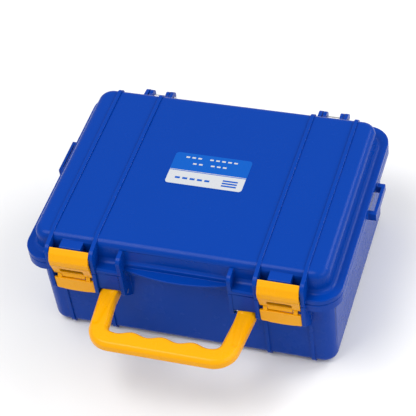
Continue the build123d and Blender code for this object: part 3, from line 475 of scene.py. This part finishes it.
FINISHES = {
    "lid_gasket": seal_rubber, "name_label": label_blue, "hinge_pins": steel, "latch_pins": steel,
    "handle_pins": steel, "hook_pin_left": steel, "hook_pin_right": steel,
    "panel_screws": screw_steel, "cover_screws": screw_steel, "front_panel": panel_plastic,
    "display_window": window_acrylic, "display_module": display_glass,
    "display_frame": dark_moulding,
    "range_knob": knob_plastic, "knob_shaft": steel, "rotary_switch": dark_moulding,
    "test_button": button_plastic, "test_switch": dark_moulding, "key_one": key_rubber,
    "key_two": key_rubber, "key_three": key_rubber, "key_four": key_rubber,
    "key_board": board_lacquer, "key_switches": dark_moulding, "key_posts": nylon,
    "line_socket": socket_red, "guard_socket": socket_blue, "earth_socket": socket_black,
    "socket_contacts": brass, "main_board": board_lacquer, "board_spacers": dark_moulding,
    "hv_module": dark_moulding, "capacitors": can_metal, "buzzer": dark_moulding,
    "battery_box": tray_plastic, "battery_cells": cell_jacket, "battery_contacts": contact_steel,
}
for node, material in FINISHES.items():
    dress(node, material)


# ---------------------------------------------------------------- printing on label and panel
PRINT_RISE = 0.08 * MM          # how far ink stands above what it is printed on
FIGURE_WIDTH = 0.52             # of a figure's height
DIAL_STOPS = 6
DIAL_STEP = 30                  # degrees between stops
KEYS = ("key_one", "key_two", "key_three", "key_four")
SOCKETS = ("line_socket", "guard_socket", "earth_socket")
SEGMENTS = {"0": "abcdef", "1": "bc", "2": "abged", "3": "abgcd", "4": "fgbc", "5": "afgcd"}


def slab(left, front, right, back):
    """Corners of an upright bar in plan."""
    return [(left, front), (right, front), (right, back), (left, back)]


def front_band(left, front, right, back, corner, steps=6):
    """Corners of a rectangle in plan whose two front corners are rounded."""
    outline = [(right, back), (left, back)]
    for turn, middle_x in ((2, left + corner), (3, right - corner)):
        for step in range(steps + 1):
            angle = radians(90 * (turn + step / steps))
            outline.append((middle_x + corner * cos(angle), front + corner + corner * sin(angle)))
    return outline


def turned_slab(middle, inner, outer, bearing, width):
    """A tick that points away from a middle; bearing is in degrees, clockwise from the back."""
    along = Vector((sin(radians(bearing)), cos(radians(bearing))))
    beside = Vector((along.y, -along.x)) * width / 2
    start, end = Vector(middle) + along * inner, Vector(middle) + along * outer
    corners = (end - beside, end + beside, start + beside, start - beside)
    return [tuple(point) for point in corners]


def arc_band(middle, inner, outer, start, stop, steps=40):
    """Short pieces that together make a ring or part of one."""
    pieces = []
    for step in range(steps):
        first = radians(start + (stop - start) * step / steps)
        last = radians(start + (stop - start) * (step + 1) / steps)
        corners = ((inner, first), (inner, last), (outer, last), (outer, first))
        pieces.append([(middle[0] + reach * sin(angle), middle[1] + reach * cos(angle))
                       for reach, angle in corners])
    return pieces


def digit(figure, corner, height, stroke):
    """The bars of one figure in seven segments; corner is its lower left."""
    left, low = corner
    right, top, half = left + height * FIGURE_WIDTH, low + height, low + height / 2
    trim, gap = stroke * 0.6, stroke * 0.2
    bars = {
        "a": slab(left + trim, top - stroke, right - trim, top),
        "g": slab(left + trim, half - stroke / 2, right - trim, half + stroke / 2),
        "d": slab(left + trim, low, right - trim, low + stroke),
        "f": slab(left, half + gap, left + stroke, top - trim),
        "b": slab(right - stroke, half + gap, right, top - trim),
        "e": slab(left, low + trim, left + stroke, half - gap),
        "c": slab(right - stroke, low + trim, right, half - gap),
    }
    return [bars[letter] for letter in SEGMENTS[figure]]


def print_on(name, outlines, height, material, body, rise=PRINT_RISE):
    """Ink laid on a level face: each outline a thin closed slab."""
    work = bmesh.new()
    for outline in outlines:
        rings = [[work.verts.new((x, y, z)) for x, y in outline]
                 for z in (height - rise / 2, height + rise)]
        turn = sum(a[0] * b[1] - b[0] * a[1] for a, b in zip(outline, outline[1:] + outline[:1]))
        if turn < 0:
            rings = [ring[::-1] for ring in rings]
        work.faces.new(rings[0][::-1])
        work.faces.new(rings[1])
        for spot in range(len(outline)):
            after = (spot + 1) % len(outline)
            work.faces.new((rings[0][spot], rings[0][after], rings[1][after], rings[1][spot]))
    mesh = bpy.data.meshes.new(name)
    work.to_mesh(mesh)
    work.free()
    show(mesh, name, material, body)


def middle_of(node):
    """The middle and the lowest and highest corners of a node's box."""
    low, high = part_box(node)
    return (low + high) / 2, low, high


def print_label():
    """Blue film with two rows of plain dashes, and a white band with stripes and marks."""
    middle, low, high = middle_of("name_label")
    wide, deep = high.x - low.x, high.y - low.y
    margin, corner = 0.4 * MM, 2.6 * MM
    left, right = low.x + margin, high.x - margin
    band_back = low.y + deep * 0.42
    rule, rule_depth = band_back + 0.7 * MM, 0.5 * MM
    white = [
        front_band(left, low.y + margin, right, band_back, corner),
        slab(left, rule, right, rule + rule_depth),
    ]
    dash_pitch, dash_depth = wide * 0.078, 1.5 * MM
    dash_length = dash_pitch * 0.6
    for way_up, count in ((0.42, 6), (0.74, 9)):
        front = band_back + (high.y - band_back) * way_up
        first = middle.x - dash_pitch * count / 2
        left_out = count // 2 - 1
        for place in range(count):
            if place != left_out:
                dash = first + place * dash_pitch
                white.append(slab(dash, front, dash + dash_length, front + dash_depth))
    print_on("label_white", white, high.z, label_white, "lid")

    blue = []
    stripe_length, stripe_depth, stripe_pitch = 12.0 * MM, 1.5 * MM, 2.7 * MM
    stripe_left, first_stripe = low.x + wide * 0.72, low.y + 3.6 * MM
    for stripe in range(3):
        front = first_stripe + stripe * stripe_pitch
        blue.append(slab(stripe_left, front, stripe_left + stripe_length, front + stripe_depth))
    mark_length, mark_depth, mark_pitch = 4.0 * MM, 2.0 * MM, 6.0 * MM
    first_mark, mark_front = low.x + 7.0 * MM, low.y + 6.0 * MM
    for place in range(5):
        mark = first_mark + place * mark_pitch
        blue.append(slab(mark, mark_front, mark + mark_length, mark_front + mark_depth))
    print_on("label_marks", blue, high.z + PRINT_RISE, label_blue, "lid")


def dial_scale():
    """Ticks, figures and an arc round the range knob."""
    knob, low, high = middle_of("range_knob")
    hub = (knob.x, knob.y)
    rim = (high.x - low.x) / 2
    tick_foot, stop_tick, half_tick = rim + 1.5 * MM, rim + 4.5 * MM, rim + 3.0 * MM
    figure_height, figure_stroke, figure_reach = 4.2 * MM, 0.6 * MM, rim + 8.6 * MM
    to_left, to_low = 1.1 * MM, 2.1 * MM
    outlines = []
    for stop in range(DIAL_STOPS):
        bearing = DIAL_STEP * stop
        outlines.append(turned_slab(hub, tick_foot, stop_tick, bearing, 0.8 * MM))
        across = hub[0] + figure_reach * sin(radians(bearing))
        up = hub[1] + figure_reach * cos(radians(bearing))
        outlines += digit(str(stop), (across - to_left, up - to_low), figure_height,
                          figure_stroke)
    for stop in range(DIAL_STOPS - 1):
        bearing = DIAL_STEP * (stop + 0.5)
        outlines.append(turned_slab(hub, tick_foot, half_tick, bearing, 0.4 * MM))
    last = DIAL_STEP * (DIAL_STOPS - 1)
    return outlines + arc_band(hub, rim + 0.9 * MM, rim + 1.3 * MM, 0, last)


def border_round(low, high, gap, line):
    """Four bars round a box in plan."""
    left, front, right, back = low.x - gap, low.y - gap, high.x + gap, high.y + gap
    return [
        slab(left, front, right, front + line),
        slab(left, back - line, right, back),
        slab(left, front + line, left + line, back - line),
        slab(right - line, front + line, right, back - line),
    ]


def ring_round(node, inner_gap, outer_gap, steps):
    """A ring round a piece that is round in plan."""
    middle, low, high = middle_of(node)
    rim = (high.x - low.x) / 2
    return arc_band((middle.x, middle.y), rim + inner_gap, rim + outer_gap, 0, 360, steps)


def print_panel():
    """Scale round the range knob, key numbers, display border and rings round the sockets."""
    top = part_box("front_panel")[1].z
    white = dial_scale()
    to_left, to_low = 0.9 * MM, 4.6 * MM
    for number, node in enumerate(KEYS, 1):
        key, low, _ = middle_of(node)
        white += digit(str(number), (key.x - to_left, low.y - to_low), 3.4 * MM, 0.5 * MM)
    _, low, high = middle_of("display_window")
    white += border_round(low, high, 2.6 * MM, 0.5 * MM)
    print_on("panel_scale", white, top, print_white, "base")
    bright = []
    for node in SOCKETS:
        bright += ring_round(node, 1.5 * MM, 2.3 * MM, 48)
    bright += ring_round("test_button", 1.2 * MM, 2.4 * MM, 56)
    print_on("panel_rings", bright, top, print_yellow, "base")


def print_display():
    """Four figures with a point between them, and a bar scale, on the liquid crystal."""
    glass, _, high = middle_of("display_module")
    left, front = glass.x - 28.0 * MM, glass.y - 5.0 * MM
    figure_height, figure_stroke, figure_pitch = 15.0 * MM, 1.9 * MM, 12.4 * MM
    ink = []
    for place, figure in enumerate("0000"):
        ink += digit(figure, (left + place * figure_pitch, front), figure_height, figure_stroke)
    point, point_length, point_depth = glass.x - 6.4 * MM, 1.4 * MM, 1.6 * MM
    ink.append(slab(point, front, point + point_length, front + point_depth))
    scale_left, scale_front = glass.x - 30.0 * MM, glass.y - 12.0 * MM
    tick_width, tick_pitch, long_tick, short_tick = 0.4 * MM, 2.0 * MM, 3.0 * MM, 1.6 * MM
    for place in range(31):
        tick = scale_left + place * tick_pitch
        tall = long_tick if place % 5 == 0 else short_tick
        ink.append(slab(tick, scale_front, tick + tick_width, scale_front + tall))
    print_on("display_figures", ink, high.z, segment_ink, "base")


def print_knob():
    """White line in the groove of the range knob."""
    knob, low, high = middle_of("range_knob")
    rim = (high.y - low.y) / 2
    half_wide, inner, outer = 0.5 * MM, 4.4 * MM, rim - 3.2 * MM
    groove_floor, paint_depth = high.z - 0.55 * MM, 0.3 * MM
    line = [slab(knob.x - half_wide, knob.y + inner, knob.x + half_wide, knob.y + outer)]
    print_on("knob_line", line, groove_floor, print_white, "knob", paint_depth)


print_label()
print_panel()
print_display()
print_knob()

# ---------------------------------------------------------------- floor, light and camera
CAMERA_AZIMUTH = 22.714
CAMERA_ELEVATION = 45.382
CAMERA_ROLL = 8.360
CAMERA_PLACE = Vector((0.33985, -0.82192, 0.97235))
CAMERA_LENS = 138.3
SENSOR_WIDTH = 36.0
NEAR_LIMIT = 0.05
FLOOR_REACH = 6.0
FLOOR_TONE = 0.80
WORLD_STRENGTH = 0.62


def stand_floor():
    """A plain pale sheet, level under the part."""
    work = bmesh.new()
    bmesh.ops.create_grid(work, x_segments=8, y_segments=8, size=FLOOR_REACH)
    mesh = bpy.data.meshes.new("floor")
    work.to_mesh(mesh)
    work.free()
    floor = bpy.data.objects.new("floor", mesh)
    bpy.context.scene.collection.objects.link(floor)
    shade = Shade("Floor paper", (FLOOR_TONE,) * 3, 0.9, Specular_IOR_Level=0.1)
    mesh.materials.append(shade.material)


def hang_softbox(name, place, aim, size, power):
    """A rectangular lamp turned towards a point; place, aim and size in metres, power in watts."""
    light = bpy.data.lights.new(name, "AREA")
    light.shape = "RECTANGLE"
    light.size, light.size_y = size
    light.energy = power
    lamp = bpy.data.objects.new(name, light)
    lamp.location = place
    lamp.rotation_euler = (Vector(aim) - Vector(place)).to_track_quat("-Z", "Y").to_euler()
    bpy.context.scene.collection.objects.link(lamp)


def set_world(strength):
    """Even white light from all round."""
    world = bpy.data.worlds.new("Studio")
    world.use_nodes = True
    sky = world.node_tree.nodes["Background"]
    sky.inputs["Color"].default_value = (1.0, 1.0, 1.0, 1.0)
    sky.inputs["Strength"].default_value = strength
    bpy.context.scene.world = world


def aim_camera():
    """The camera, turned by azimuth, elevation and roll about its own line of sight."""
    azimuth, elevation = radians(CAMERA_AZIMUTH), radians(CAMERA_ELEVATION)
    roll = radians(CAMERA_ROLL)
    forward = Vector((
        -sin(azimuth) * cos(elevation), cos(azimuth) * cos(elevation), -sin(elevation)
    ))
    level = Vector((cos(azimuth), sin(azimuth), 0.0))
    down = forward.cross(level)
    right = level * cos(roll) + down * sin(roll)
    lower = down * cos(roll) - level * sin(roll)
    lens = bpy.data.cameras.new("camera")
    lens.sensor_width = SENSOR_WIDTH
    lens.lens = CAMERA_LENS
    lens.clip_start = NEAR_LIMIT
    camera = bpy.data.objects.new("camera", lens)
    camera.matrix_world = Matrix([
        [right.x, -lower.x, -forward.x, CAMERA_PLACE.x],
        [right.y, -lower.y, -forward.y, CAMERA_PLACE.y],
        [right.z, -lower.z, -forward.z, CAMERA_PLACE.z],
        [0.0, 0.0, 0.0, 1.0],
    ])
    bpy.context.scene.collection.objects.link(camera)
    bpy.context.scene.camera = camera


stand_floor()
set_world(WORLD_STRENGTH)
hang_softbox("key light", place=(-0.5, -0.5, 1.5), aim=(0, 0, 0.05), size=(1.0, 1.0), power=17)
hang_softbox("back light", place=(1.1, 0.9, 1.2), aim=(0, 0, 0.05), size=(1.0, 0.8), power=13)
hang_softbox("side fill", place=(1.1, -0.35, 0.75), aim=(0, 0, 0.08), size=(1.0, 0.7), power=5)
aim_camera()
bpy.context.scene.view_settings.view_transform = "Standard"
